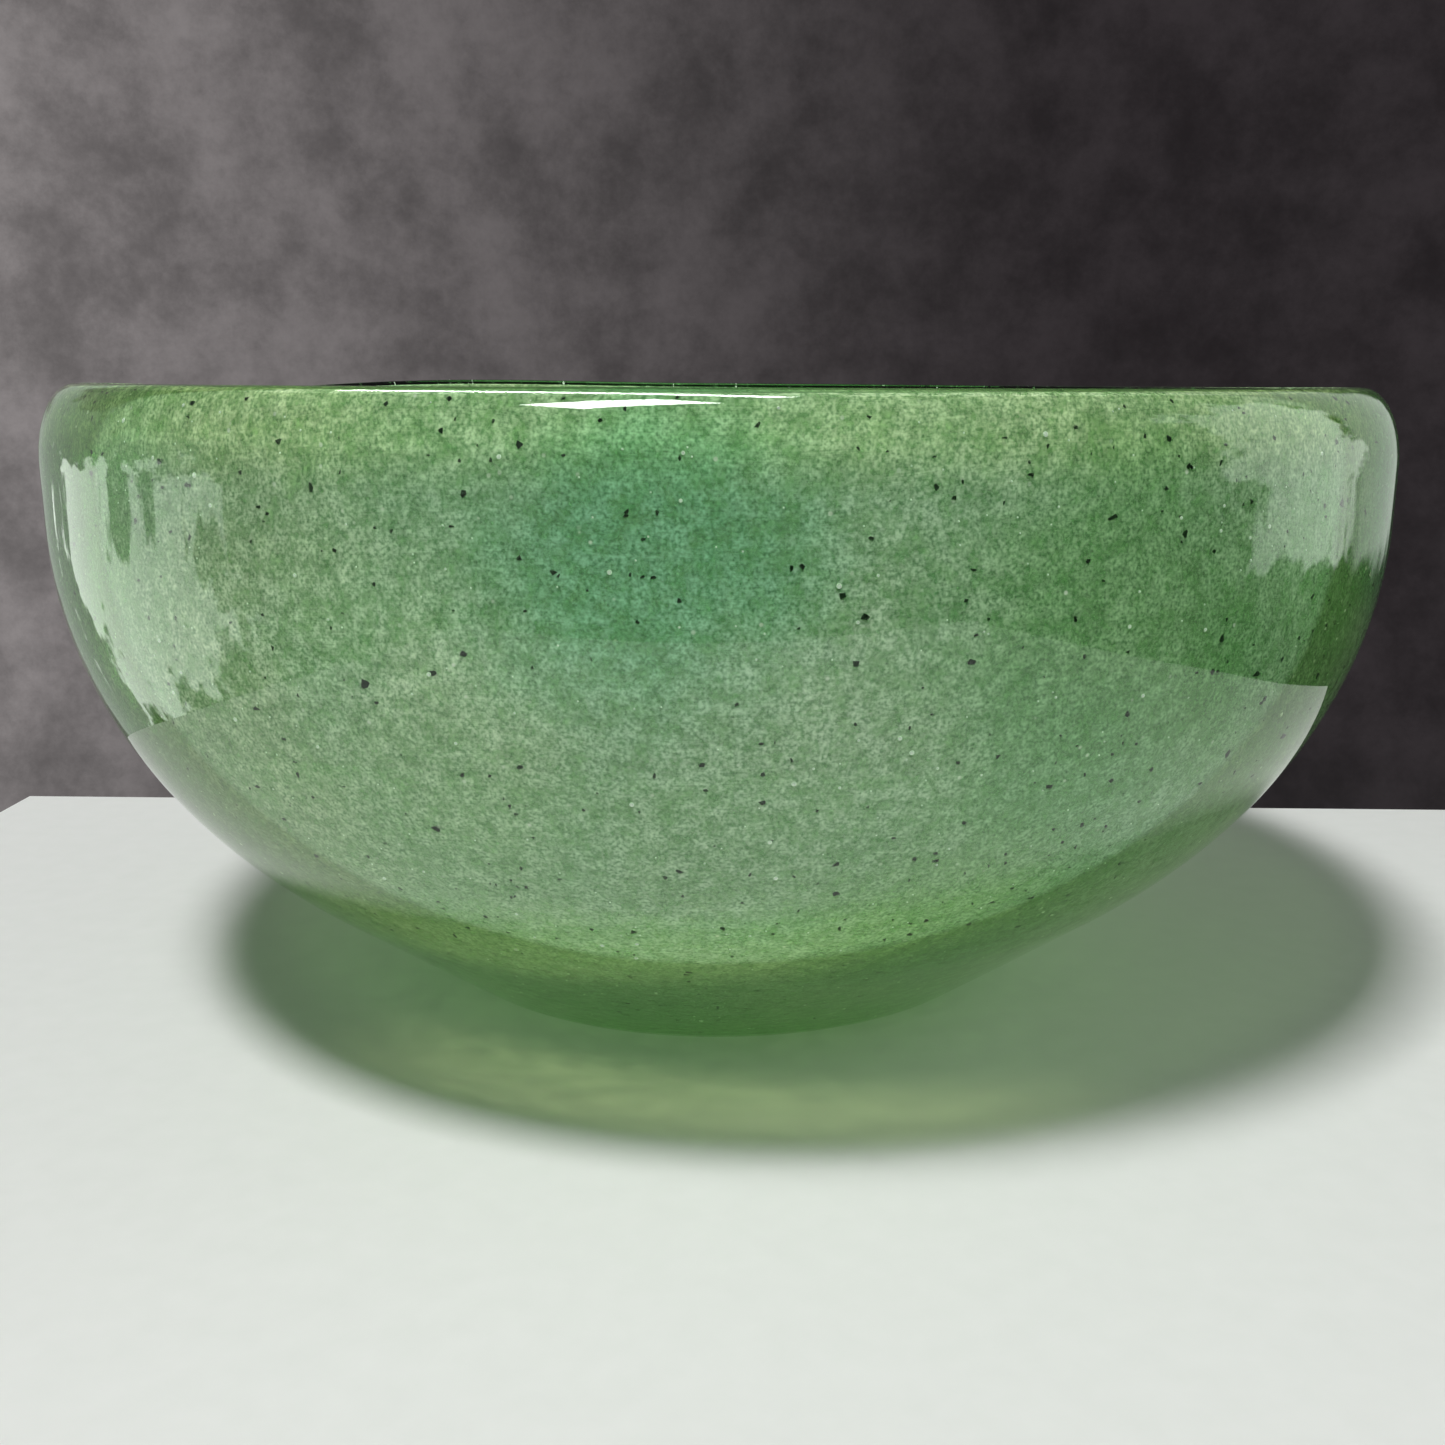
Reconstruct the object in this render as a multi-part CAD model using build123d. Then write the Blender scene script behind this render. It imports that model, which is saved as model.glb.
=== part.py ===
from build123d import *
from math import asin, cos, degrees, radians, sin
import os
import random

# Hand-blown, thick-walled bowl of cased green glass, in millimetres. The origin is the centre of the
# flat foot, with +Z up along the bowl's axis. The wall is three gathers of glass, one over another:
# a clear inner lining, a layer of green powder glass with chips of nearly black glass in it, and a
# thick clear casing that also makes the foot.

# Outside shape
MAX_RADIUS = 100.0
HEIGHT = 90.5
FOOT_RADIUS = 46.5
CONE_TOP_Z = 17.0  # the underside is a cone from the foot up to here, and part of an ellipse above
BELLY_Z = 72.0  # where the outside wall stands upright
BELLY_DROP = 76.5  # half-height of the ellipse below that level
SHOULDER_Z = 80.0  # where the upright wall turns over into the lip

# Inside shape
LIP_CREST_RADIUS = 94.6
INNER_RADIUS = 93.0
INNER_LIP_Z = 86.5  # where the inside wall turns over into the lip
BASE_THICKNESS = 10.0
INNER_FULLNESS = 2.4  # 2 is an ellipse, and more keeps the wall even down to the foot

# Gathers
LINING_BASE = 2.2
POWDER_THICKNESS = 1.0
POWDER_TOP_Z = 89.3

# Chips of dark glass
CHIP_COUNT = 40
CHIP_SMALLEST = 0.4  # radius
CHIP_LARGEST = 1.1
CHIP_FLATNESS = 3.0  # radius over half the thickness
CHIP_SLOPE = 30.0  # degrees that its sides lean in
CHIP_HIGHEST = 8.0  # degrees below the belly
CHIP_LOWEST = 70.0
CHIP_SEED = 7

# What follows from them
POWDER_INSIDE = (LIP_CREST_RADIUS, BASE_THICKNESS - LINING_BASE)  # radius and floor of the hollow
POWDER_OUTSIDE = (POWDER_INSIDE[0] + POWDER_THICKNESS, POWDER_INSIDE[1] - POWDER_THICKNESS)
POWDER_MIDDLE = (POWDER_INSIDE[0] + POWDER_THICKNESS / 2, POWDER_INSIDE[1] - POWDER_THICKNESS / 2)
CONE_TOP_ANGLE = degrees(asin((BELLY_Z - CONE_TOP_Z) / BELLY_DROP))
CONE_TOP_RADIUS = MAX_RADIUS * cos(radians(CONE_TOP_ANGLE))
CURVE_STEPS = 8


def hollow_point(radius, floor_z, angle):
    """A point of a rounded hollow, as radius and height: on the upright wall at 0 degrees, and in the
    middle of the floor at 90."""
    power = 2 / INNER_FULLNESS
    across = radius * cos(radians(angle)) ** power
    return across, BELLY_Z - (BELLY_Z - floor_z) * sin(radians(angle)) ** power


def hollow_curve(radius, floor_z):
    """The half section of a hollow, from the middle of its floor up to the belly."""
    angles = [90 - 90 * step / CURVE_STEPS for step in range(1, CURVE_STEPS + 1)]
    points = [(0, floor_z)] + [hollow_point(radius, floor_z, angle) for angle in angles]
    return Spline(*points, tangents=[(1, 0), (0, 1)])


def turned(outline):
    """A solid of revolution from the edges of a half section, drawn as radius across and height up."""
    return revolve(Plane.XZ * make_face(outline), Axis.Z)


def make_inner_lining():
    """The first gather: the whole inside surface and the inner side of the lip."""
    seam_radius, underside = POWDER_INSIDE
    inside = hollow_curve(INNER_RADIUS, BASE_THICKNESS)
    wall = Line((INNER_RADIUS, BELLY_Z), (INNER_RADIUS, INNER_LIP_Z))
    lip = EllipticalCenterArc(
        (LIP_CREST_RADIUS, INNER_LIP_Z),
        LIP_CREST_RADIUS - INNER_RADIUS,
        HEIGHT - INNER_LIP_Z,
        start_angle=90,
        arc_size=90,
    )
    seam = Line((seam_radius, HEIGHT), (seam_radius, BELLY_Z))
    middle = Line((0, underside), (0, BASE_THICKNESS))
    return turned(inside + wall + lip + seam + hollow_curve(*POWDER_INSIDE) + middle)


def make_powder_shell():
    """The whole powder layer, before room is cut for the chips. It stops below the lip."""
    (near, upper), (far, lower) = POWDER_INSIDE, POWDER_OUTSIDE
    top = Polyline((near, BELLY_Z), (near, POWDER_TOP_Z), (far, POWDER_TOP_Z), (far, BELLY_Z))
    middle = Line((0, lower), (0, upper))
    return turned(hollow_curve(*POWDER_INSIDE) + top + hollow_curve(*POWDER_OUTSIDE) + middle)


def make_outer_casing():
    """The last gather: the outside wall, the foot and the outer side of the lip."""
    hollow_radius, hollow_floor = POWDER_OUTSIDE
    seam = Polyline(
        (hollow_radius, BELLY_Z),
        (hollow_radius, POWDER_TOP_Z),
        (LIP_CREST_RADIUS, POWDER_TOP_Z),
        (LIP_CREST_RADIUS, HEIGHT),
    )
    lip = EllipticalCenterArc(
        (LIP_CREST_RADIUS, SHOULDER_Z),
        MAX_RADIUS - LIP_CREST_RADIUS,
        HEIGHT - SHOULDER_Z,
        start_angle=0,
        arc_size=90,
    )
    shoulder = Line((MAX_RADIUS, SHOULDER_Z), (MAX_RADIUS, BELLY_Z))
    belly = EllipticalCenterArc(
        (0, BELLY_Z), MAX_RADIUS, BELLY_DROP, start_angle=-CONE_TOP_ANGLE, arc_size=CONE_TOP_ANGLE
    )
    foot = Polyline((CONE_TOP_RADIUS, CONE_TOP_Z), (FOOT_RADIUS, 0), (0, 0), (0, hollow_floor))
    return turned(hollow_curve(*POWDER_OUTSIDE) + seam + lip + shoulder + belly + foot)


def chip_place(angle, turn):
    """A place in the middle of the powder layer, with its z axis square to the wall."""
    across, height = hollow_point(*POWDER_MIDDLE, angle)
    next_across, next_height = hollow_point(*POWDER_MIDDLE, angle + 1)
    down_wall = Vector(next_across - across, 0, next_height - height)
    outward = Vector(-down_wall.Z, 0, down_wall.X)
    return Rot(0, 0, turn) * Plane((across, 0, height), x_dir=down_wall, z_dir=outward).location


def make_chips():
    """Chips of crushed dark glass: small six-sided flakes with leaning sides, strewn at random."""
    draw = random.Random(CHIP_SEED)
    chips = []
    for number in range(CHIP_COUNT):
        radius = CHIP_SMALLEST + (CHIP_LARGEST - CHIP_SMALLEST) * draw.random() ** 2
        angle = draw.uniform(CHIP_HIGHEST, CHIP_LOWEST)
        turn = 360 * (number + draw.uniform(-0.4, 0.4)) / CHIP_COUNT
        outline = Rot(0, 0, draw.uniform(0, 60)) * RegularPolygon(radius, 6)
        flake = extrude(outline, amount=radius / CHIP_FLATNESS, both=True, taper=CHIP_SLOPE)
        chips.append(chip_place(angle, turn) * flake)
    return chips


chips = make_chips()
nodes = {
    "inner_lining": make_inner_lining(),
    "colour_layer": make_powder_shell() - chips,
    "outer_casing": make_outer_casing(),
    "dark_chips": Compound(children=chips),
}
os.makedirs("parts", exist_ok=True)
for name, shape in nodes.items():
    export_step(shape, f"parts/{name}.step")
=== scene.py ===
# %% [markdown]
# # A hand-blown bowl of cased green glass
# This lesson builds a heavy glass bowl from the inside out, as the glassmaker did: a clear lining, a
# layer of green powder glass with dark chips in it, a thick clear casing, and the tiny bubbles that
# hot glass traps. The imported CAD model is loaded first. Every size below is read from it, in metres.

# %% The frame
import math
import random

import bmesh
import bpy
from mathutils import Euler, Matrix, Vector, noise


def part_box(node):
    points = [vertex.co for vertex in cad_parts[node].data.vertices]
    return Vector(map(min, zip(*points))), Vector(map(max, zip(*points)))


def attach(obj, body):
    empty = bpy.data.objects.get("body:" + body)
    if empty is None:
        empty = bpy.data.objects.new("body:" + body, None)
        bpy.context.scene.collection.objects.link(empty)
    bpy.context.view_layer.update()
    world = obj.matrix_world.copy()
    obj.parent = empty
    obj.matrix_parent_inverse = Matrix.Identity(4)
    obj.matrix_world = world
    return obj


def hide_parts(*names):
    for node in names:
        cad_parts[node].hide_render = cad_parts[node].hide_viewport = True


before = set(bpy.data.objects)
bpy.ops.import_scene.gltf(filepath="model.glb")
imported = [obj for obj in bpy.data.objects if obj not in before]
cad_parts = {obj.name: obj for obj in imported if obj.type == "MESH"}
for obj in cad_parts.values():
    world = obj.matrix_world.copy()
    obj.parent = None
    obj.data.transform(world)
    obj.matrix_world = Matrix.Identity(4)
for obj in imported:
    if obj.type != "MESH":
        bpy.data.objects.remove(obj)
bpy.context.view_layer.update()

# %% [markdown]
# The CAD boxes give the main sizes: how wide the bowl is, where its lip ends, how deep the powder
# lies. A few sizes that no box shows, such as the height of the belly, are named here as well.

# %% Sizes
MM = 0.001
RIM_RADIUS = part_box("outer_casing")[1].x
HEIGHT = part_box("outer_casing")[1].z
CREST_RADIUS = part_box("inner_lining")[1].x
POWDER_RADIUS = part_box("colour_layer")[1].x
POWDER_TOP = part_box("colour_layer")[1].z
POWDER_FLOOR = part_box("colour_layer")[0].z
LINING_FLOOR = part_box("inner_lining")[0].z
FOOT_RADIUS = 46.5 * MM
CONE_TOP_Z = 17 * MM
BELLY_Z = 72 * MM
BELLY_DROP = 76.5 * MM
SHOULDER_Z = 80 * MM
INNER_RADIUS = 93 * MM
INNER_LIP_Z = 86.5 * MM
INNER_FLOOR = 10 * MM
FULLNESS = 2.4
FUSED_GAP = 0.02 * MM
print(f"bowl {2 * RIM_RADIUS / MM:.0f} mm across and {HEIGHT / MM:.1f} mm high")

# %% [markdown]
# ## The camera
# A small camera stood close to the bowl, just above its rim, and looked slightly down. The lens is
# given by its field of view: the bowl nearly fills the frame.

# %% Camera
CAMERA_DISTANCE = 245 * MM
CAMERA_HEIGHT = 91.2 * MM
CAMERA_SIDE = 0.6 * MM
CAMERA_PITCH = math.radians(12.85)
CAMERA_ROLL = math.radians(-0.1)
CAMERA_LENS = 37.4
SENSOR_WIDTH = 36

camera = bpy.data.objects.new("camera", bpy.data.cameras.new("camera"))
bpy.context.collection.objects.link(camera)
camera.data.lens = CAMERA_LENS
camera.data.sensor_width = SENSOR_WIDTH
camera.data.clip_start = 0.01
camera.location = (CAMERA_SIDE, -CAMERA_DISTANCE, CAMERA_HEIGHT)
tilt = Euler((math.pi / 2 - CAMERA_PITCH, 0, 0)).to_matrix() @ Matrix.Rotation(CAMERA_ROLL, 3, "Z")
camera.rotation_euler = tilt.to_euler()
bpy.context.scene.camera = camera
print(f"camera {CAMERA_DISTANCE / MM:.0f} mm away, looking {math.degrees(CAMERA_PITCH):.1f} degrees down")

# %% [markdown]
# ## Helpers for shader nodes
# Materials are small machines of nodes. Helpers keep them short: they add a node and set its inputs,
# do sums on values and colours, start a material, and start a node group with named sockets.

# %% Node helpers
def fill(tree, node, inputs):
    """Links or sets a node's inputs."""
    for key, value in dict(inputs).items():
        if isinstance(value, bpy.types.NodeSocket):
            tree.links.new(value, node.inputs[key])
        else:
            node.inputs[key].default_value = value
    return node


def add(tree, kind, inputs=(), **settings):
    """A new node, with its settings made and its inputs set or linked."""
    made = tree.nodes.new(kind)
    for name, value in settings.items():
        setattr(made, name, value)
    return fill(tree, made, inputs)


def maths(tree, operation, a, b=0.0, clamp=False):
    """The result of one Math node."""
    return add(tree, "ShaderNodeMath", {0: a, 1: b}, operation=operation, use_clamp=clamp).outputs[0]


def blended(tree, share, a, b):
    """Two colours mixed by a share from 0 to 1."""
    mix = add(tree, "ShaderNodeMix", {0: share, 6: a, 7: b}, data_type="RGBA")
    return mix.outputs[2]


def spread(tree, value, low, high, to_low=0.0, to_high=1.0):
    """A value between low and high, spread smoothly over a new range."""
    inputs = {"Value": value, "From Min": low, "From Max": high, "To Min": to_low, "To Max": to_high}
    return add(tree, "ShaderNodeMapRange", inputs, interpolation_type="SMOOTHSTEP").outputs["Result"]


def new_material(name):
    """An empty material with its output node, as (material, tree, output)."""
    material = bpy.data.materials.new(name)
    material.use_nodes = True
    material.node_tree.nodes.clear()
    return material, material.node_tree, material.node_tree.nodes.new("ShaderNodeOutputMaterial")


def new_group(name, inputs, outputs):
    """An empty node group with named sockets, as (group, its input node, its output node)."""
    group = bpy.data.node_groups.new(name, "ShaderNodeTree")
    for in_out, sockets in (("INPUT", inputs), ("OUTPUT", outputs)):
        for socket_name, kind, value in sockets:
            socket = group.interface.new_socket(socket_name, in_out=in_out, socket_type=kind)
            if value is not None:
                socket.default_value = value
    return group, group.nodes.new("NodeGroupInput"), group.nodes.new("NodeGroupOutput")


def place_group(tree, group, inputs=()):
    """A node group placed in a material, with its inputs set or linked."""
    placed = add(tree, "ShaderNodeGroup", node_tree=group)
    return fill(tree, placed, inputs)


FLOAT, COLOUR, VECTOR = "NodeSocketFloat", "NodeSocketColor", "NodeSocketVector"

# %% [markdown]
# ## Places on the wall of a turned thing
# A gather of hot glass turns on the pipe, so everything in it is drawn out round the axis. Noise for
# such streaks should change slowly round the bowl and quickly up and down its wall. A 4D noise does
# that with no seam: the plain position gives three of its directions, and the fourth is the place
# along the wall's profile, measured as an angle seen from the middle of the belly.

# %% Node group: place along the wall
wall_group, wall_in, wall_out = new_group(
    "place_on_wall", [("Waviness", FLOAT, 0.1)], [("Profile", FLOAT, None), ("Position", VECTOR, None)]
)
position = add(wall_group, "ShaderNodeTexCoord").outputs["Object"]
parts = add(wall_group, "ShaderNodeSeparateXYZ", {0: position})
across = maths(
    wall_group,
    "SQRT",
    maths(
        wall_group,
        "ADD",
        maths(wall_group, "MULTIPLY", parts.outputs["X"], parts.outputs["X"]),
        maths(wall_group, "MULTIPLY", parts.outputs["Y"], parts.outputs["Y"]),
    ),
)
above = maths(wall_group, "SUBTRACT", parts.outputs["Z"], BELLY_Z)
profile_angle = maths(wall_group, "ARCTAN2", above, across)
sway = add(wall_group, "ShaderNodeTexNoise", {"Vector": position, "Scale": 22.0, "Detail": 1.0})
swayed = maths(
    wall_group,
    "MULTIPLY",
    maths(wall_group, "SUBTRACT", sway.outputs["Fac"], 0.5),
    wall_in.outputs["Waviness"],
)
wall_group.links.new(maths(wall_group, "ADD", profile_angle, swayed), wall_out.inputs["Profile"])
wall_group.links.new(position, wall_out.inputs["Position"])
print("group", wall_group.name, len(wall_group.nodes), "nodes")

# %% [markdown]
# ## Powder grain
# The colour is powdered glass. Close up it is a crowd of grains well under a millimetre across, some
# pale and some dark, and drawn out a little round the bowl. One group makes the grain, and gives how
# dense it is and how light. It also gives scattered tiny bright points, painted glints that stand in
# for the highlights of small bubbles. The outer and the inner face of the layer use it with
# different offsets, so the eye sees grain at two depths.

# %% Node group: powder grain
def centred(tree, value, strength):
    """A noise value moved to lie round zero, times a strength."""
    return maths(tree, "MULTIPLY", maths(tree, "SUBTRACT", value, 0.5), strength)


def summed(tree, *values):
    total = values[0]
    for value in values[1:]:
        total = maths(tree, "ADD", total, value)
    return total


grain_group, grain_in, grain_out = new_group(
    "powder_grain",
    [("Grain Size", FLOAT, 0.45), ("Offset", FLOAT, 0.0), ("Streaks", FLOAT, 1.0)],
    [("Density", FLOAT, None), ("Lightness", FLOAT, None), ("Painted Glint", FLOAT, None)],
)
wall = place_group(grain_group, wall_group, {"Waviness": 0.12})
streak_w = summed(
    grain_group, maths(grain_group, "MULTIPLY", wall.outputs["Profile"], 95.0), grain_in.outputs["Offset"]
)
offset = add(grain_group, "ShaderNodeCombineXYZ", {0: grain_in.outputs["Offset"]}).outputs[0]
shifted = add(grain_group, "ShaderNodeVectorMath", {0: wall.outputs["Position"], 1: offset}, operation="ADD")
shifted = shifted.outputs[0]
grain_scale = maths(grain_group, "DIVIDE", 1000.0, grain_in.outputs["Grain Size"])
fine = add(
    grain_group,
    "ShaderNodeTexNoise",
    {"Vector": shifted, "Scale": grain_scale, "Detail": 1.0, "Roughness": 0.6},
).outputs["Fac"]
clumps = add(
    grain_group, "ShaderNodeTexNoise", {"Vector": shifted, "Scale": 520.0, "Detail": 2.0}
).outputs["Fac"]
streaks = add(
    grain_group,
    "ShaderNodeTexNoise",
    {"Vector": shifted, "W": streak_w, "Scale": 130.0, "Detail": 2.0},
    noise_dimensions="4D",
).outputs["Fac"]
light = summed(
    grain_group,
    centred(grain_group, fine, 2.6),
    centred(grain_group, clumps, 0.45),
    maths(grain_group, "MULTIPLY", centred(grain_group, streaks, 0.8), grain_in.outputs["Streaks"]),
)
grain_group.links.new(maths(grain_group, "ADD", light, 0.45, clamp=True), grain_out.inputs["Lightness"])
grain_group.links.new(
    summed(grain_group, centred(grain_group, clumps, 1.4), centred(grain_group, streaks, 0.8), 0.6),
    grain_out.inputs["Density"],
)
# painted glints: a few small bright cells stand in for the highlights of tiny bubbles
painted_glint_cells = add(
    grain_group, "ShaderNodeTexVoronoi", {"Vector": shifted, "Scale": 900.0, "Randomness": 1.0}
)
cell = add(grain_group, "ShaderNodeSeparateColor", {0: painted_glint_cells.outputs["Color"]}).outputs[0]
cell_edge = spread(grain_group, painted_glint_cells.outputs["Distance"], 0.12, 0.28, 1.0, 0.0)
grain_group.links.new(
    maths(grain_group, "MULTIPLY", spread(grain_group, cell, 0.955, 0.975), cell_edge),
    grain_out.inputs["Painted Glint"],
)
print("group", grain_group.name, len(grain_group.nodes), "nodes")

# %% [markdown]
# ## Clouds of colour and painted reflections
# The powder was rolled on in more than one green, and lies thicker in some places than others. Each
# cloud is a soft ball of space in which the powder takes on a tint. Noise breaks up its edge. Two of
# the clouds are not the powder's own colour but painted reflections: a teal patch high on the front
# of the wall, and a pale patch low on the left front, where the white board shows in the glass.

# %% Node group: clouds
CLOUDS_AND_REFLECTIONS = (
    # place in millimetres, radius, tint, strength
    # painted reflection: a teal patch high on the front of the wall
    ((-6, -96, 74), 20, (0.50, 0.84, 0.72, 1), 0.75),
    ((42, -86, 64), 26, (0.60, 0.80, 0.54, 1), 0.8),
    ((68, -66, 58), 22, (0.60, 0.80, 0.54, 1), 0.7),
    ((86, -40, 74), 18, (0.55, 0.92, 0.80, 1), 0.7),
    # painted reflection: a pale patch low on the left front, standing for the white board seen in the glass
    ((-45, -80, 52), 40, (1.25, 1.16, 1.12, 1), 0.8),
    ((-74, -58, 76), 20, (0.72, 0.86, 0.64, 1), 0.7),
    ((30, -78, 24), 26, (0.50, 0.74, 0.46, 1), 0.6),
    ((60, 70, 60), 36, (0.55, 0.86, 0.62, 1), 0.8),
    ((-70, 60, 66), 34, (0.62, 0.92, 0.74, 1), 0.8),
    ((0, 20, 8), 30, (0.70, 0.90, 0.70, 1), 0.7),
)
cloud_group, cloud_in, cloud_out = new_group(
    "powder_clouds_and_reflections", [("Raggedness", FLOAT, 10.0)], [("Tint", COLOUR, None)]
)
position = add(cloud_group, "ShaderNodeTexCoord").outputs["Object"]
ragged = add(
    cloud_group, "ShaderNodeTexNoise", {"Vector": position, "Scale": 70.0, "Detail": 4.0, "Roughness": 0.6}
).outputs["Fac"]
ragged = maths(
    cloud_group,
    "MULTIPLY",
    centred(cloud_group, ragged, 2.0 * MM),
    cloud_in.outputs["Raggedness"],
)
tint = add(
    cloud_group, "ShaderNodeTexNoise", {"Vector": position, "Scale": 26.0, "Detail": 2.0}
).outputs["Fac"]
tint = blended(
    cloud_group, spread(cloud_group, tint, 0.35, 0.65), (0.90, 0.97, 0.92, 1), (1.04, 1.02, 0.98, 1)
)
for place, radius, shade, strength in CLOUDS_AND_REFLECTIONS:
    away = add(
        cloud_group,
        "ShaderNodeVectorMath",
        {0: position, 1: [distance * MM for distance in place]},
        operation="DISTANCE",
    ).outputs["Value"]
    away = maths(cloud_group, "ADD", away, ragged)
    share = spread(cloud_group, away, radius * 0.45 * MM, radius * 1.15 * MM, strength, 0.0)
    tint = add(
        cloud_group, "ShaderNodeMix", {0: share, 6: tint, 7: shade}, data_type="RGBA", blend_type="MULTIPLY"
    ).outputs[2]
cloud_group.links.new(tint, cloud_out.inputs["Tint"])
print("group", cloud_group.name, len(CLOUDS_AND_REFLECTIONS), "clouds")

# %% [markdown]
# ## Clear glass
# The casing and the lining meet air on one side only. On the other side they are fused to the powder
# layer, and a ray of light passes from glass to glass without bending. So each face of a clear piece
# carries a number, 1 where it meets air and 0 where it is fused, and the material is real glass on
# the first and lets light straight through on the second. A volume inside takes a little red and
# blue away, so long paths through the glass come out green. Near the bowl's silhouette light runs
# round inside the wall and comes out darker, which a Layer Weight node stands in for.

# %% Glass materials
def make_clear_glass(name, tint, density, edge_tint):
    """Clear glass, with faint cords in its colour, and a breath of dust where it meets air. Near its
    silhouette it takes the edge tint, because there light runs round inside the wall."""
    material, tree, output = new_material(name)
    wall = place_group(tree, wall_group, {"Waviness": 0.2})
    cords = add(
        tree,
        "ShaderNodeTexNoise",
        {
            "Vector": wall.outputs["Position"],
            "W": maths(tree, "MULTIPLY", wall.outputs["Profile"], 14.0),
            "Scale": 14.0,
            "Detail": 2.0,
        },
        noise_dimensions="4D",
    )
    colour = blended(tree, cords.outputs["Fac"], (0.95, 0.99, 0.95, 1), (0.99, 1.0, 0.985, 1))
    facing = add(tree, "ShaderNodeLayerWeight", {"Blend": 0.5}).outputs["Facing"]
    colour = blended(tree, spread(tree, facing, 0.62, 0.65), colour, edge_tint)
    smears = add(
        tree, "ShaderNodeTexNoise", {"Vector": wall.outputs["Position"], "Scale": 60.0, "Detail": 4.0}
    )
    rough = spread(tree, smears.outputs["Fac"], 0.5, 0.8, 0.0, 0.05)
    glass = add(
        tree,
        "ShaderNodeBsdfPrincipled",
        {"Base Color": colour, "Roughness": rough, "IOR": 1.5, "Transmission Weight": 1.0},
    )
    fused = add(tree, "ShaderNodeBsdfTransparent", {"Color": (1, 1, 1, 1)})
    meets_air = add(tree, "ShaderNodeAttribute", attribute_name="meets_air").outputs["Fac"]
    surface = add(tree, "ShaderNodeMixShader", {0: meets_air, 1: fused.outputs[0], 2: glass.outputs[0]})
    inside = add(tree, "ShaderNodeVolumeAbsorption", {"Color": tint, "Density": density})
    tree.links.new(surface.outputs[0], output.inputs["Surface"])
    tree.links.new(inside.outputs[0], output.inputs["Volume"])
    return material


GLASS_TINT = (0.5, 0.9, 0.45, 1)
GLASS_DENSITY = 30.0
casing_glass = make_clear_glass("casing_glass", GLASS_TINT, GLASS_DENSITY, (0.30, 0.40, 0.18, 1))
lining_glass = make_clear_glass("lining_glass", GLASS_TINT, GLASS_DENSITY, (0.9, 0.95, 0.88, 1))

# %% [markdown]
# ## The powder layer's material
# Between grains the light goes straight on, a little greener. Where it meets a grain it scatters,
# both back and through, so the material is a mix of Transparent with Diffuse and Translucent. Near
# the lip the colour is painted warmer and brighter, a painted light that stands in for the extra
# light reaching the powder there.

# %% Powder material
def make_powder(name, offset, least, most, grain_size):
    """One face of the powder layer: its share of grain runs from least to most."""
    material, tree, output = new_material(name)
    grain = place_group(tree, grain_group, {"Grain Size": grain_size, "Offset": offset})
    # the cloud tints, two of them painted reflections, multiply the grain colour below
    clouds = place_group(tree, cloud_group, {"Raggedness": 10.0})
    height = add(
        tree, "ShaderNodeSeparateXYZ", {0: add(tree, "ShaderNodeTexCoord").outputs["Object"]}
    ).outputs["Z"]
    colour = blended(tree, grain.outputs["Lightness"], DARK_GRAIN, LIGHT_GRAIN)
    # painted light: towards the lip the colour is made warmer and brighter, standing in for the extra light
    # that reaches the powder there
    near_lip = spread(tree, height, 79 * MM, 86 * MM)
    painted_lip_light = blended(tree, near_lip, (1, 1, 1, 1), (1.22, 1.2, 0.98, 1))
    for shade in (clouds.outputs["Tint"], painted_lip_light):
        colour = add(
            tree, "ShaderNodeMix", {0: 1.0, 6: colour, 7: shade}, data_type="RGBA", blend_type="MULTIPLY"
        ).outputs[2]
    # painted glints: the bright cells turn the colour nearly white
    colour = blended(tree, grain.outputs["Painted Glint"], colour, (1.0, 1.0, 0.95, 1))
    density = spread(tree, grain.outputs["Density"], 0.2, 1.0, least, most)
    through = add(tree, "ShaderNodeBsdfTransparent", {"Color": (0.70, 0.86, 0.64, 1)})
    back = add(tree, "ShaderNodeBsdfDiffuse", {"Color": colour})
    forth = add(tree, "ShaderNodeBsdfTranslucent", {"Color": colour})
    scatter = add(tree, "ShaderNodeMixShader", {0: 0.5, 1: back.outputs[0], 2: forth.outputs[0]})
    surface = add(tree, "ShaderNodeMixShader", {0: density, 1: through.outputs[0], 2: scatter.outputs[0]})
    tree.links.new(surface.outputs[0], output.inputs["Surface"])
    return material


DARK_GRAIN = (0.20, 0.33, 0.22, 1)
LIGHT_GRAIN = (0.77, 0.88, 0.77, 1)
powder_outer = make_powder("powder_outer_grain", 0.0, 0.22, 0.70, 0.42)
powder_inner = make_powder("powder_inner_grain", 3.7, 0.22, 0.66, 0.5)

# %% [markdown]
# ## Dark chips and seed bubbles
# The chips are nearly black glass. A bubble is a round hole in the glass, and its surface turns so
# much light back that it looks like a bright bead. A pale, smooth skin with a faint glow of its own
# gives that look at this size, and is far quicker to render than a true hole.

# %% Chip and bubble materials
def make_dark_glass():
    material, tree, output = new_material("dark_glass")
    position = add(tree, "ShaderNodeTexCoord").outputs["Object"]
    patches = add(tree, "ShaderNodeTexNoise", {"Vector": position, "Scale": 900.0, "Detail": 2.0})
    colour = blended(tree, patches.outputs["Fac"], (0.002, 0.012, 0.006, 1), (0.012, 0.05, 0.02, 1))
    glass = add(tree, "ShaderNodeBsdfPrincipled", {"Base Color": colour, "Roughness": 0.4})
    tree.links.new(glass.outputs[0], output.inputs["Surface"])
    return material


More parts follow.
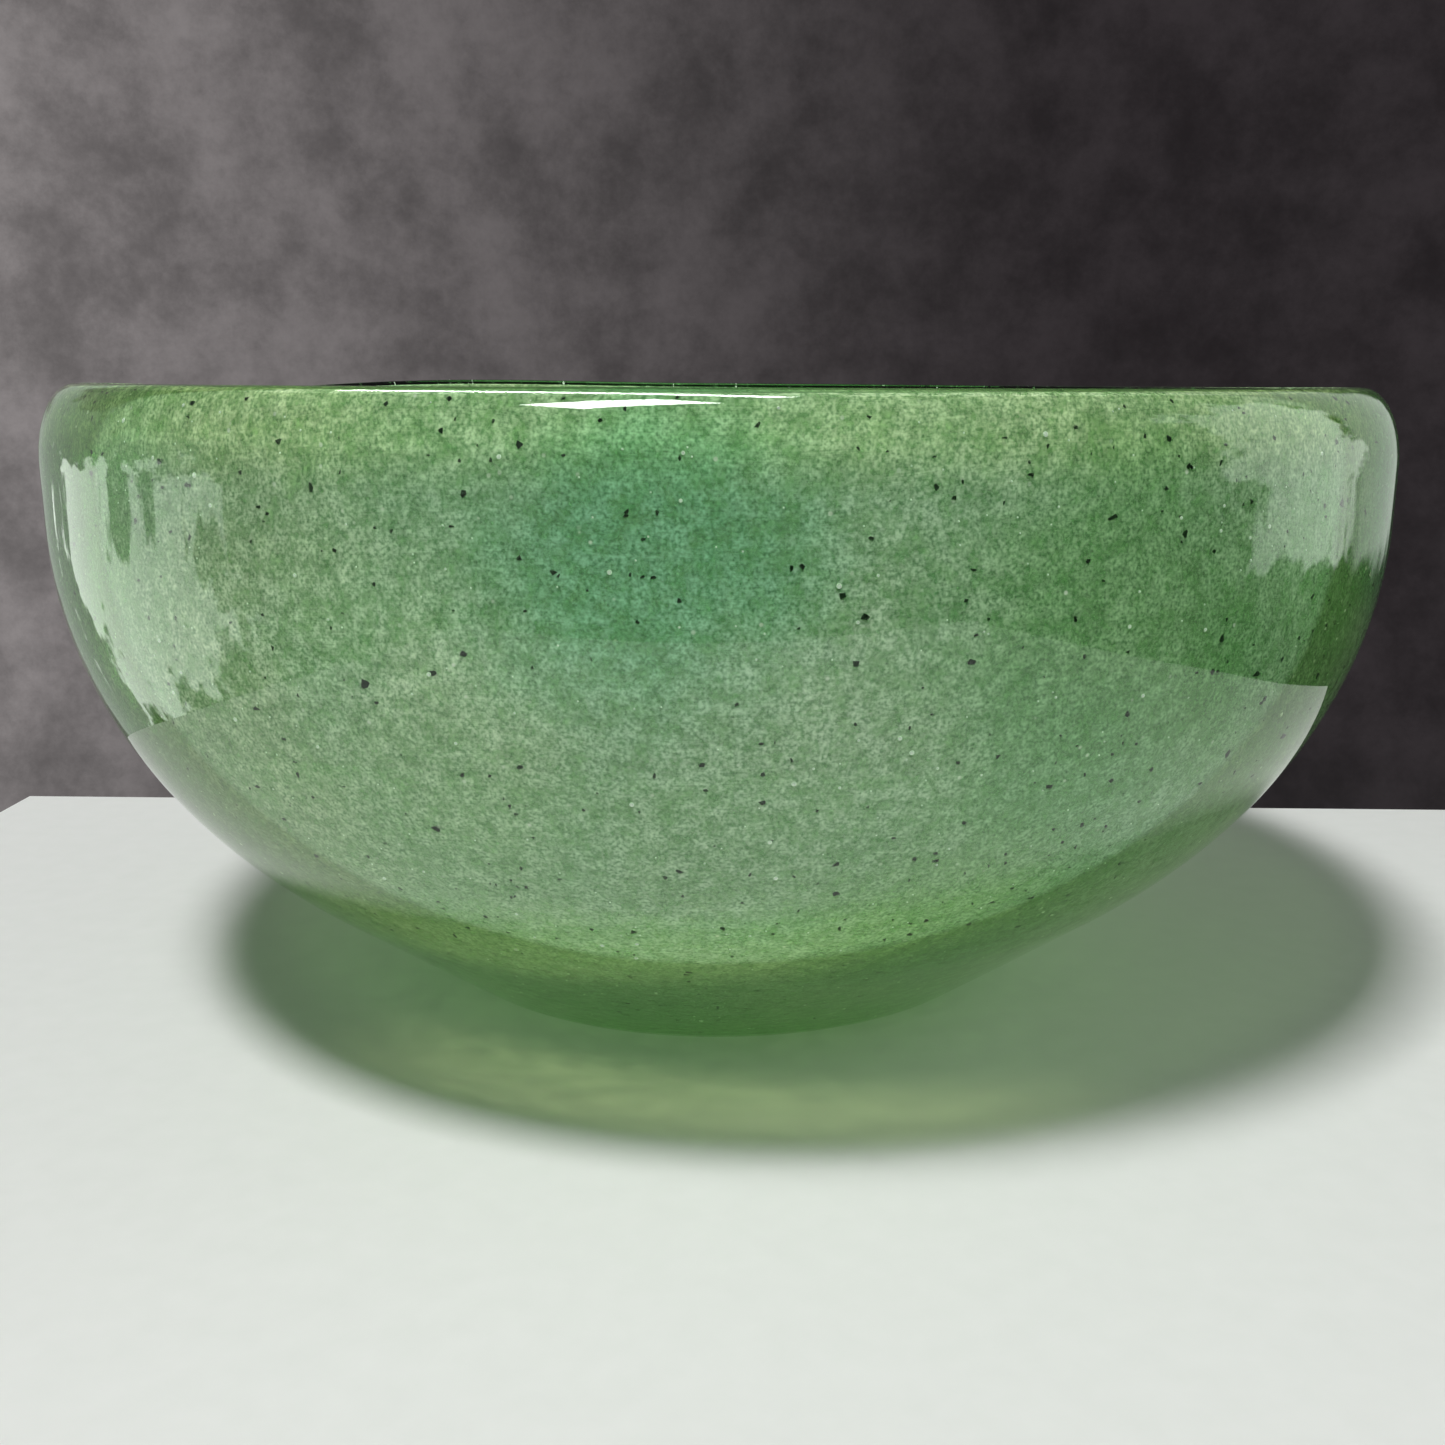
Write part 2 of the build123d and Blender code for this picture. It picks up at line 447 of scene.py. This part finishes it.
def make_bubble_skin():
    material, tree, output = new_material("seed_bubble")
    position = add(tree, "ShaderNodeTexCoord").outputs["Object"]
    shades = add(tree, "ShaderNodeTexNoise", {"Vector": position, "Scale": 200.0})
    colour = blended(tree, shades.outputs["Fac"], (0.85, 0.95, 0.8, 1), (0.97, 1, 0.95, 1))
    skin = add(
        tree,
        "ShaderNodeBsdfPrincipled",
        {
            "Base Color": colour,
            "Roughness": 0.15,
            "Emission Color": (0.9, 1, 0.9, 1),
            "Emission Strength": 0.25,
        },
    )
    tree.links.new(skin.outputs[0], output.inputs["Surface"])
    return material


dark_glass = make_dark_glass()
bubble_skin = make_bubble_skin()

# %% [markdown]
# ## Hand-made, not machine-made
# A blown bowl is never quite round, and its lip rises and falls a little where it was sheared and
# fire-polished. Every layer moves together for these, so they are worked out from the place on the
# bowl alone. The polished faces have a finer ripple of their own, which makes reflections swim.

# %% The maker's hand
RIM_WAVES = (
    # direction round the bowl in degrees, height and half-width in degrees
    (156, -1.1 * MM, 16),
    (122, 0.6 * MM, 20),
    (35, -0.3 * MM, 30),
)
RIM_TILT = 0.5 * MM
ROUNDNESS = 0.35 * MM
RIPPLE = 0.05 * MM
RIPPLE_LENGTH = 14 * MM


def eased(value):
    value = min(max(value, 0.0), 1.0)
    return value * value * (3 - 2 * value)


def by_hand(radius, z, turn, polished):
    """Where a point of the turned shape lies on the real bowl."""
    rim_share = eased((z - 45 * MM) / (HEIGHT - 45 * MM))
    lift = -RIM_TILT * math.cos(turn)
    for direction, height, width in RIM_WAVES:
        apart = (math.degrees(turn) - direction + 180) % 360 - 180
        lift += height * math.exp(-((apart / width) ** 2))
    wide = ROUNDNESS * rim_share * (math.cos(2 * turn + 0.8) + 0.4 * math.cos(3 * turn - 1.1))
    radius = radius * (1 + wide / RIM_RADIUS)
    point = Vector((radius * math.cos(turn), radius * math.sin(turn), z + lift * rim_share))
    if polished:
        outward = Vector((point.x, point.y, (z - BELLY_Z) * 1.2)).normalized()
        foot_share = eased(z / (4 * MM))
        point += outward * RIPPLE * foot_share * noise.noise(point / RIPPLE_LENGTH)
    return point

# %% [markdown]
# ## Turning a profile on the lathe
# Each layer is a half section turned round the axis. A section is a list of stretches, and each
# stretch has its points, its material and whether it is polished. Edges where the kind of face
# changes, and edges that bend by more than 50 degrees, are sharp, so that a polished face keeps its
# own smooth normals up to the seam.

# %% Lathe
SEGMENTS = 240


def lathe(name, stretches, materials):
    """A closed mesh from stretches of (points, kind, polished), from axis to axis. The kind is the
    number of the face's material, where there are two, and otherwise says whether it meets air."""
    rows = []
    row_kinds = []
    for points, kind, polished in stretches:
        start = 0 if not rows else 1
        for radius, z in points[start:]:
            rows.append((radius, z, polished))
            row_kinds.append(kind)
    mesh = bmesh.new()
    kind_layer = mesh.faces.layers.float.new("meets_air")
    rings = []
    for radius, z, polished in rows:
        if radius < 1e-7:
            rings.append([mesh.verts.new(by_hand(0, z, 0, False))])
        else:
            turns = [2 * math.pi * i / SEGMENTS for i in range(SEGMENTS)]
            rings.append([mesh.verts.new(by_hand(radius, z, turn, polished)) for turn in turns])
    for number in range(1, len(rings)):
        inner, outer = rings[number - 1], rings[number]
        for i in range(SEGMENTS):
            j = (i + 1) % SEGMENTS
            if len(inner) == 1:
                corners = (inner[0], outer[i], outer[j])
            elif len(outer) == 1:
                corners = (inner[i], inner[j], outer[0])
            else:
                corners = (inner[i], inner[j], outer[j], outer[i])
            face = mesh.faces.new(corners)
            face[kind_layer] = row_kinds[number]
            face.material_index = row_kinds[number] if len(materials) > 1 else 0
            face.smooth = True
    bmesh.ops.recalc_face_normals(mesh, faces=mesh.faces)
    for edge in mesh.edges:
        kinds = {face[kind_layer] for face in edge.link_faces}
        edge.smooth = len(kinds) < 2 and edge.calc_face_angle(0.0) < math.radians(50)
    data = bpy.data.meshes.new(name)
    mesh.to_mesh(data)
    mesh.free()
    piece = bpy.data.objects.new(name, data)
    bpy.context.collection.objects.link(piece)
    for material in materials:
        data.materials.append(material)
    print(name, len(data.polygons), "faces")
    return piece


def ellipse(centre_r, centre_z, across, up, start, end, steps):
    """Points of an elliptical arc, from start to end in degrees."""
    angles = [math.radians(start + (end - start) * i / steps) for i in range(steps + 1)]
    return [(centre_r + across * math.cos(a), centre_z + up * math.sin(a)) for a in angles]


def hollow(radius, floor_z, steps=56):
    """Points of a rounded hollow, from the middle of its floor up to the belly."""
    power = 2 / FULLNESS
    points = [(0.0, floor_z)]
    for i in range(1, steps + 1):
        angle = math.pi / 2 * (1 - i / steps)
        points.append(
            (radius * math.cos(angle) ** power, BELLY_Z - (BELLY_Z - floor_z) * math.sin(angle) ** power)
        )
    return points


def straight(a, b, steps):
    return [(a[0] + (b[0] - a[0]) * i / steps, a[1] + (b[1] - a[1]) * i / steps) for i in range(steps + 1)]

# %% [markdown]
# ## The outer casing
# The thickest gather. Its outside is the bowl's shape: a flat foot, a cone that runs up into a belly
# that is part of an ellipse, an upright shoulder, and the outer side of the fire-polished lip.

# %% Outer casing
AIR, FUSED = 1, 0
cone_top_angle = math.degrees(math.asin((BELLY_Z - CONE_TOP_Z) / BELLY_DROP))
cone_top_radius = RIM_RADIUS * math.cos(math.radians(cone_top_angle))
casing_hollow = (POWDER_RADIUS + FUSED_GAP, POWDER_FLOOR - FUSED_GAP)
seam_z = POWDER_TOP + FUSED_GAP
lip_width, lip_height = RIM_RADIUS - CREST_RADIUS, HEIGHT - SHOULDER_Z
lip_outside = ellipse(CREST_RADIUS, SHOULDER_Z, lip_width, lip_height, 0, 90, 40)

outer_casing = lathe(
    "outer_casing_glass",
    [
        (straight((0, 0), (FOOT_RADIUS, 0), 8), AIR, True),
        (straight((FOOT_RADIUS, 0), (cone_top_radius, CONE_TOP_Z), 24), AIR, True),
        (ellipse(0, BELLY_Z, RIM_RADIUS, BELLY_DROP, -cone_top_angle, 0, 64), AIR, True),
        (straight((RIM_RADIUS, BELLY_Z), (RIM_RADIUS, SHOULDER_Z), 6), AIR, True),
        (lip_outside, AIR, True),
        (straight((CREST_RADIUS, HEIGHT), (CREST_RADIUS, seam_z), 6), FUSED, False),
        (straight((CREST_RADIUS, seam_z), (casing_hollow[0], seam_z), 2), FUSED, False),
        (straight((casing_hollow[0], seam_z), (casing_hollow[0], BELLY_Z), 8), FUSED, False),
        (hollow(*casing_hollow)[::-1], FUSED, False),
    ],
    [casing_glass],
)
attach(outer_casing, "root")
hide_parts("outer_casing")

# %% [markdown]
# ## The inner lining
# The first gather, blown from the pipe. Its inside is the hollow that holds things, and it carries the
# inner side of the lip up to the crest, where it meets the casing.

# %% Inner lining
lining_back = (CREST_RADIUS - FUSED_GAP, LINING_FLOOR + FUSED_GAP)
inner_lip_width, inner_lip_height = lining_back[0] - INNER_RADIUS, HEIGHT - INNER_LIP_Z
lip_inside = ellipse(lining_back[0], INNER_LIP_Z, inner_lip_width, inner_lip_height, 180, 90, 24)

inner_lining = lathe(
    "inner_lining_glass",
    [
        (hollow(INNER_RADIUS, INNER_FLOOR), AIR, True),
        (straight((INNER_RADIUS, BELLY_Z), (INNER_RADIUS, INNER_LIP_Z), 10), AIR, True),
        (lip_inside, AIR, True),
        (straight((lining_back[0], HEIGHT), (lining_back[0], BELLY_Z), 10), FUSED, False),
        (hollow(*lining_back)[::-1], FUSED, False),
    ],
    [lining_glass],
)
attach(inner_lining, "root")
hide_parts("inner_lining")

# %% [markdown]
# ## The powder layer
# A millimetre of powder glass between the two. Its outer and inner faces have their own grain.

# %% Powder layer
OUTER_GRAIN, INNER_GRAIN = 0, 1
powder_layer = lathe(
    "powder_layer",
    [
        (hollow(CREST_RADIUS, LINING_FLOOR), INNER_GRAIN, False),
        (straight((CREST_RADIUS, BELLY_Z), (CREST_RADIUS, POWDER_TOP), 10), INNER_GRAIN, False),
        (straight((CREST_RADIUS, POWDER_TOP), (POWDER_RADIUS, POWDER_TOP), 2), OUTER_GRAIN, False),
        (straight((POWDER_RADIUS, POWDER_TOP), (POWDER_RADIUS, BELLY_Z), 10), OUTER_GRAIN, False),
        (hollow(POWDER_RADIUS, POWDER_FLOOR)[::-1], OUTER_GRAIN, False),
    ],
    [powder_outer, powder_inner],
)
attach(powder_layer, "root")
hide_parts("colour_layer")

# %% [markdown]
# ## Dark chips
# Crushed dark glass is picked up with the powder. Each chip is the hull of a few random points, and
# the chips crowd towards one side of the bowl, as they fell on the marver.

# %% Scattering small things in the wall
def wall_place(fraction, turn, depth):
    """A point in the wall: fraction 0 is the middle of the floor and 1 is just below the lip, and
    depth runs from 0 at the powder's inner face outwards, in metres."""
    power = 2 / FULLNESS
    radius = CREST_RADIUS + depth
    floor_z = LINING_FLOOR - depth
    if fraction > 0.85:
        point = (radius, BELLY_Z + (fraction - 0.85) / 0.15 * (POWDER_TOP - BELLY_Z))
    else:
        angle = math.pi / 2 * (1 - fraction / 0.85)
        point = (radius * math.cos(angle) ** power, BELLY_Z - (BELLY_Z - floor_z) * math.sin(angle) ** power)
    return by_hand(point[0], point[1], turn, False)


def finish_mesh(name, data, material, smooth):
    """Turns mesh data into a piece with one material."""
    data.polygons.foreach_set("use_smooth", [smooth] * len(data.polygons))
    data.materials.append(material)
    piece = bpy.data.objects.new(name, data)
    bpy.context.collection.objects.link(piece)
    print(name, len(data.polygons), "faces")
    return piece


def strew(name, shapes, material, smooth):
    """One piece made of many small closed shapes, each given as (points, faces)."""
    points = []
    faces = []
    for shape_points, shape_faces in shapes:
        first = len(points)
        points += [tuple(point) for point in shape_points]
        faces += [[first + corner for corner in face] for face in shape_faces]
    data = bpy.data.meshes.new(name)
    data.from_pydata(points, [], faces)
    return finish_mesh(name, data, material, smooth)


def chip_shape(centre, size, draw):
    """A crushed chip: the hull of a few points strewn round its centre."""
    mesh = bmesh.new()
    stretch = Vector((draw.uniform(0.5, 1.3), draw.uniform(0.5, 1.3), draw.uniform(0.5, 1.2)))
    for _ in range(9):
        way = Vector([draw.gauss(0, 1) for _ in range(3)]).normalized() * size * draw.uniform(0.7, 1.0)
        mesh.verts.new(centre + way * stretch)
    bmesh.ops.convex_hull(mesh, input=mesh.verts)
    bmesh.ops.delete(mesh, geom=[v for v in mesh.verts if not v.link_faces], context="VERTS")
    bmesh.ops.recalc_face_normals(mesh, faces=mesh.faces)
    mesh.verts.index_update()
    shape = [v.co.copy() for v in mesh.verts], [[v.index for v in face.verts] for face in mesh.faces]
    mesh.free()
    return shape

# %% Chips
CHIP_COUNT = 1500
CHIP_SMALLEST = 0.3 * MM
draw = random.Random(11)
chips = []
for _ in range(CHIP_COUNT):
    turn = math.radians(draw.gauss(-35, 100))
    place = wall_place(draw.random() ** 0.6, turn, draw.uniform(1.0, 1.5) * MM)
    size = CHIP_SMALLEST + (0.3 * draw.random() ** 3 + 0.5 * draw.random() ** 40) * MM
    chips.append(chip_shape(place, size, draw))
dark_chips = strew("dark_chips_crushed", chips, dark_glass, False)
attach(dark_chips, "root")
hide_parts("dark_chips")

# %% [markdown]
# ## Seed bubbles
# More than a thousand bubbles, most far smaller than a pinhead, lie just outside the powder. They
# are what glitters when the bowl is turned.

# %% Bubbles
BUBBLE_COUNT = 1600
ball_mesh = bmesh.new()
bmesh.ops.create_icosphere(ball_mesh, subdivisions=2, radius=1.0)
ball_mesh.verts.index_update()
ball_points = [v.co.copy() for v in ball_mesh.verts]
ball_faces = [[v.index for v in face.verts] for face in ball_mesh.faces]
ball_mesh.free()

draw = random.Random(23)
bubbles = []
for _ in range(BUBBLE_COUNT):
    turn = draw.uniform(0, 2 * math.pi)
    place = wall_place(draw.random() ** 0.6, turn, draw.uniform(1.2, 3.0) * MM)
    size = (0.1 + 0.2 * draw.random() ** 5) * MM
    bubbles.append(([place + point * size for point in ball_points], ball_faces))
seed_bubbles = strew("seed_bubbles", bubbles, bubble_skin, True)
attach(seed_bubbles, "root")

# %% [markdown]
# ## The board and the room
# The bowl stands on a plain white board, not much larger than itself. Beyond it there is only the dim
# room, which the world's shader paints by direction: a dark grey wall behind, lighter on the left,
# dim light from above, and bright windows at both sides, whose edges are broken up by foliage.

# %% Board
BOARD_BACK = 76 * MM
BOARD_FRONT = -275 * MM
BOARD_LEFT = -160 * MM
BOARD_RIGHT = 190 * MM
BOARD_TURN = math.radians(-2.4)
board_mesh = bmesh.new()
bmesh.ops.create_cube(board_mesh, size=1.0)
bmesh.ops.scale(
    board_mesh, vec=(BOARD_RIGHT - BOARD_LEFT, BOARD_BACK - BOARD_FRONT, 0.02), verts=board_mesh.verts
)
bmesh.ops.translate(
    board_mesh,
    vec=((BOARD_RIGHT + BOARD_LEFT) / 2, (BOARD_BACK + BOARD_FRONT) / 2, -0.01 - 0.05 * MM),
    verts=board_mesh.verts,
)
bmesh.ops.bevel(board_mesh, geom=board_mesh.edges[:], offset=1.0 * MM, segments=3, affect="EDGES")
board_white, tree, output = new_material("board_white")
position = add(tree, "ShaderNodeTexCoord").outputs["Object"]
flecks = add(tree, "ShaderNodeTexNoise", {"Vector": position, "Scale": 220.0, "Detail": 6.0})
colour = blended(tree, flecks.outputs["Fac"], (0.80, 0.81, 0.79, 1), (0.86, 0.86, 0.85, 1))
bump = add(tree, "ShaderNodeBump", {"Strength": 0.05, "Distance": 0.0002, "Height": flecks.outputs["Fac"]})
paint = add(
    tree, "ShaderNodeBsdfPrincipled", {"Base Color": colour, "Roughness": 0.55, "Normal": bump.outputs[0]}
)
tree.links.new(paint.outputs[0], output.inputs["Surface"])
board_data = bpy.data.meshes.new("board")
board_mesh.to_mesh(board_data)
board_mesh.free()
board = finish_mesh("board", board_data, board_white, False)
board.rotation_euler = (0, 0, BOARD_TURN)

# %% World
world = bpy.data.worlds.new("room")
bpy.context.scene.world = world
world.use_nodes = True
tree = world.node_tree
tree.nodes.clear()
direction = add(tree, "ShaderNodeTexCoord").outputs["Generated"]
ways = add(tree, "ShaderNodeSeparateXYZ", {0: direction})
plaster = add(
    tree,
    "ShaderNodeTexNoise",
    {"Vector": direction, "Scale": 12.0, "Detail": 12.0, "Roughness": 0.72},
)
foliage = add(
    tree, "ShaderNodeTexNoise", {"Vector": direction, "Scale": 5.0, "Detail": 4.0, "Roughness": 0.6}
)
leafy = maths(tree, "MULTIPLY", maths(tree, "SUBTRACT", foliage.outputs["Fac"], 0.5), 0.5)


def window(tree, room, colour, aim, half_width, low, high, leaves):
    """The room's light with one more soft-edged bright patch, round a horizontal direction."""
    edge = maths(tree, "MULTIPLY", leafy, leaves)
    aim = Vector(aim).normalized()
    side = Vector((-aim.y, aim.x, 0))
    along, ahead = [
        add(tree, "ShaderNodeVectorMath", {0: direction, 1: way}, operation="DOT_PRODUCT").outputs["Value"]
        for way in (side, aim)
    ]
    sideways = maths(tree, "ADD", maths(tree, "ABSOLUTE", along), edge)
    upward = maths(tree, "ADD", ways.outputs["Z"], edge)
    share = spread(tree, sideways, half_width - 0.03, half_width + 0.03, 1.0, 0.0)
    share = maths(tree, "MULTIPLY", share, spread(tree, upward, low - 0.03, low + 0.03))
    share = maths(tree, "MULTIPLY", share, spread(tree, upward, high - 0.03, high + 0.03, 1.0, 0.0))
    share = maths(tree, "MULTIPLY", share, spread(tree, ahead, 0.0, 0.1))
    return blended(tree, share, room, colour)


left_share = spread(tree, ways.outputs["X"], -0.75, 0.25, 1.0, 0.0)
wall_colour = blended(tree, left_share, (0.026, 0.022, 0.024, 1), (0.26, 0.24, 0.24, 1))
mottled = spread(tree, plaster.outputs["Fac"], 0.3, 0.7, 0.65, 1.35)
wall_light = add(
    tree, "ShaderNodeVectorMath", {0: wall_colour, "Scale": mottled}, operation="SCALE"
).outputs[0]
sky_share = spread(tree, ways.outputs["Z"], 0.25, 0.55)
room = blended(tree, sky_share, wall_light, (0.10, 0.105, 0.10, 1))
floor_share = spread(tree, ways.outputs["Z"], -0.5, -0.15, 1.0, 0.0)
room = blended(tree, floor_share, room, (0.02, 0.02, 0.02, 1))
WINDOWS = (
    # colour, direction, half-width, lowest and highest, raggedness
    ((0.6, 0.66, 0.6, 1), (0.72, 0.69, 0), 0.22, -0.12, 0.6, 0.5),
    ((1.5, 1.65, 1.5, 1), (0.97, 0.24, 0), 0.28, -0.12, 0.6, 1.2),
    ((0.45, 0.5, 0.45, 1), (-0.9, 0.5, 0), 0.5, -0.42, 0.25, 1.0),
    ((2.0, 2.2, 2.0, 1), (-0.96, 0.28, 0), 0.36, -0.40, 0.02, 2.2),
)
for colour, aim, half_width, low, high, leaves in WINDOWS:
    room = window(tree, room, colour, aim, half_width, low, high, leaves)
background = add(tree, "ShaderNodeBackground", {"Color": room, "Strength": 1.0})
add(tree, "ShaderNodeOutputWorld", {"Surface": background.outputs[0]})
print("room with", len(WINDOWS), "bright patches")

# %% [markdown]
# ## Lights
# Thick glass bends the light of a lamp in ways that take a renderer very long to find. So the lamps are
# told what they light and what shades them. The overhead lamp shines through the glass, and is shaded
# by the powder and by a card that only casts a shadow: it stops the light that the thick lip turns
# away, dims what the body takes, and lets through the bright crescent that the wall gathers. Two
# lamps light the powder alone, and another makes the white mark on the lip.

# %% Lights
def panel(name, place, aim, width, height, watts, colour=(1, 1, 1)):
    """A soft rectangular lamp, not seen directly by the camera."""
    lamp = bpy.data.lights.new(name, "AREA")
    lamp.shape = "RECTANGLE"
    lamp.size, lamp.size_y = width, height
    lamp.energy = watts
    lamp.color = colour
    made = bpy.data.objects.new(name, lamp)
    bpy.context.collection.objects.link(made)
    made.location = place
    made.rotation_euler = (Vector(aim) - Vector(place)).to_track_quat("-Z", "Y").to_euler()
    made.visible_camera = False
    return made


def group_of(name, pieces):
    group = bpy.data.collections.new(name)
    for piece in pieces:
        group.objects.link(piece)
    return group


def shine_only_on(lamp, pieces):
    """Keeps a lamp's light to some pieces, with no shadow from any other."""
    lamp.light_linking.receiver_collection = group_of(lamp.name + "_lights", pieces)
    only_shaded_by(lamp, pieces)


def only_shaded_by(lamp, pieces):
    """Lets a lamp shine through everything except some pieces."""
    lamp.light_linking.blocker_collection = group_of(lamp.name + "_shadows", pieces)



# %% Shade card
CARD_HEIGHT = 84 * MM
CARD_EDGE = 0.995
LIP_SHADE_FROM = 0.925
shade, tree, output = new_material("shade_card")
position = add(tree, "ShaderNodeTexCoord").outputs["Object"]
flat = add(
    tree,
    "ShaderNodeVectorMath",
    {0: position, 1: (1 / RIM_RADIUS, 1 / RIM_RADIUS, 0)},
    operation="MULTIPLY",
)
across = add(tree, "ShaderNodeVectorMath", {0: flat.outputs[0]}, operation="LENGTH").outputs["Value"]
forward = add(
    tree, "ShaderNodeVectorMath", {0: flat.outputs[0], 1: (0.2, 0.98, 0)}, operation="DOT_PRODUCT"
).outputs["Value"]
gathered = maths(
    tree, "MULTIPLY", spread(tree, across, 0.83, 0.90), spread(tree, forward, -0.72, -0.90)
)
passed = blended(tree, gathered, (0.34, 0.38, 0.28, 1), (3.2, 2.6, 2.0, 1))
lip_share = spread(tree, across, LIP_SHADE_FROM - 0.01, LIP_SHADE_FROM + 0.01)
passed = blended(tree, lip_share, passed, (0, 0, 0, 1))
through = add(tree, "ShaderNodeBsdfTransparent", {"Color": passed})
tree.links.new(through.outputs[0], output.inputs["Surface"])
card_mesh = bmesh.new()
bmesh.ops.create_circle(card_mesh, cap_ends=True, segments=128, radius=CARD_EDGE * RIM_RADIUS)
bmesh.ops.translate(card_mesh, vec=(0, 0, CARD_HEIGHT), verts=card_mesh.verts)
card_data = bpy.data.meshes.new("shade_card")
card_mesh.to_mesh(card_data)
card_mesh.free()
shade_card = finish_mesh("shade_card", card_data, shade, False)
for kind_of_ray in ("camera", "diffuse", "glossy", "transmission", "volume_scatter"):
    setattr(shade_card, "visible_" + kind_of_ray, False)

# %% Lamps
powder_pieces = (powder_layer, dark_chips, seed_bubbles)
overhead = panel("overhead_lamp", (-0.24, -0.38, 1.3), (0, 0, 0), 0.22, 0.22, 14.5)
overhead.visible_glossy = False
overhead.visible_transmission = False
only_shaded_by(overhead, (*powder_pieces, shade_card))
for name, place, width, depth, watts in (
    ("lip_light", (-0.24, -0.3, 1.3), 0.26, 0.45, 9),
    ("lip_light_back", (-0.25, 0.45, 1.3), 0.10, 1.1, 9),
):
    lip_light = panel(name, place, (0, place[1] * 0.5, 0), width, depth, watts)
    lip_light.visible_transmission = False
    lip_light.light_linking.receiver_collection = group_of(name + "_lights", (outer_casing,))
inside_glow = panel("inside_glow", (-0.15, 0.1, 0.9), (0, 0, 0), 0.5, 0.5, 4)
front_glow = panel("front_glow", (0.1, -1.3, 0.5), (0, 0, 0.05), 0.3, 0.3, 15)
for glow in (inside_glow, front_glow):
    shine_only_on(glow, powder_pieces)
print("lamps", sorted(lamp.name for lamp in bpy.data.lights))

# %% [markdown]
# ## Finish
# Light in thick glass bounces and passes many faces, so the limits on bounces are raised.

# %% Finish
cycles = bpy.context.scene.cycles
cycles.max_bounces = 24
cycles.transmission_bounces = 24
cycles.transparent_max_bounces = 48
cycles.sample_clamp_indirect = 0
bpy.context.scene.view_settings.view_transform = "Standard"
